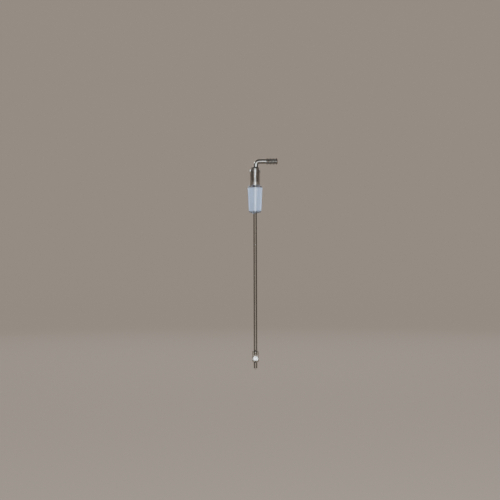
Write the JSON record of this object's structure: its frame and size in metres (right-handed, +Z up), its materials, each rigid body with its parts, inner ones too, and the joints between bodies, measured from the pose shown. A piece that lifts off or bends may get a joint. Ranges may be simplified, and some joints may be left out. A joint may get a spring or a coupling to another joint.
{
  "type": "glass siphon tube",
  "caption": "All-glass siphon dip tube on a ground 24/40 stopper, with a swivelling ridged outlet elbow in a small ground socket and a ball check valve at its foot.",
  "frame": {"origin": "centre of the large end of the ground stopper cone, on the axis of the dip tube", "axes": "+Z up the dip tube, towards the elbow; +X the way the outlet points; +Y to its left"},
  "size_m": [0.0496, 0.024, 0.3501],
  "materials": {
    "clear_glass": "clear fire-polished borosilicate glass",
    "ground_glass": "finely ground, frosted white",
    "white_ptfe": "waxy white PTFE"
  },
  "bodies": {
    "stopper": {"ground_cone": "ground_glass", "stopper_drip_end": "clear_glass", "stopper_shoulder": "clear_glass", "neck_socket": "clear_glass", "socket_bead": "clear_glass", "ring_seal": "clear_glass", "stem": "clear_glass", "sleeve_shoulder": "clear_glass", "valve_sleeve": "clear_glass", "ball_stop": "clear_glass", "valve_seat": "clear_glass", "intake_nozzle": "clear_glass"},
    "elbow_plug": {"elbow_cone": "clear_glass"},
    "elbow": {"elbow_shoulder": "clear_glass", "outlet_elbow": "clear_glass", "hose_connection": "clear_glass"},
    "ball": {"check_ball": "white_ptfe"}
  },
  "joints": [
    {"name": "elbow_lift_out", "type": "slide", "parent": "stopper", "child": "elbow_plug", "axis": [0, 0, 1], "range_m": [0, 0.03]},
    {"name": "elbow_turn", "type": "hinge", "parent": "elbow_plug", "child": "elbow", "pos_m": [0, 0, 0.0308], "axis": [0, 0, 1], "continuous": true},
    {"name": "ball_lift", "type": "slide", "parent": "stopper", "child": "ball", "axis": [0, 0, 1], "range_m": [0, 0.0024]}
  ]
}
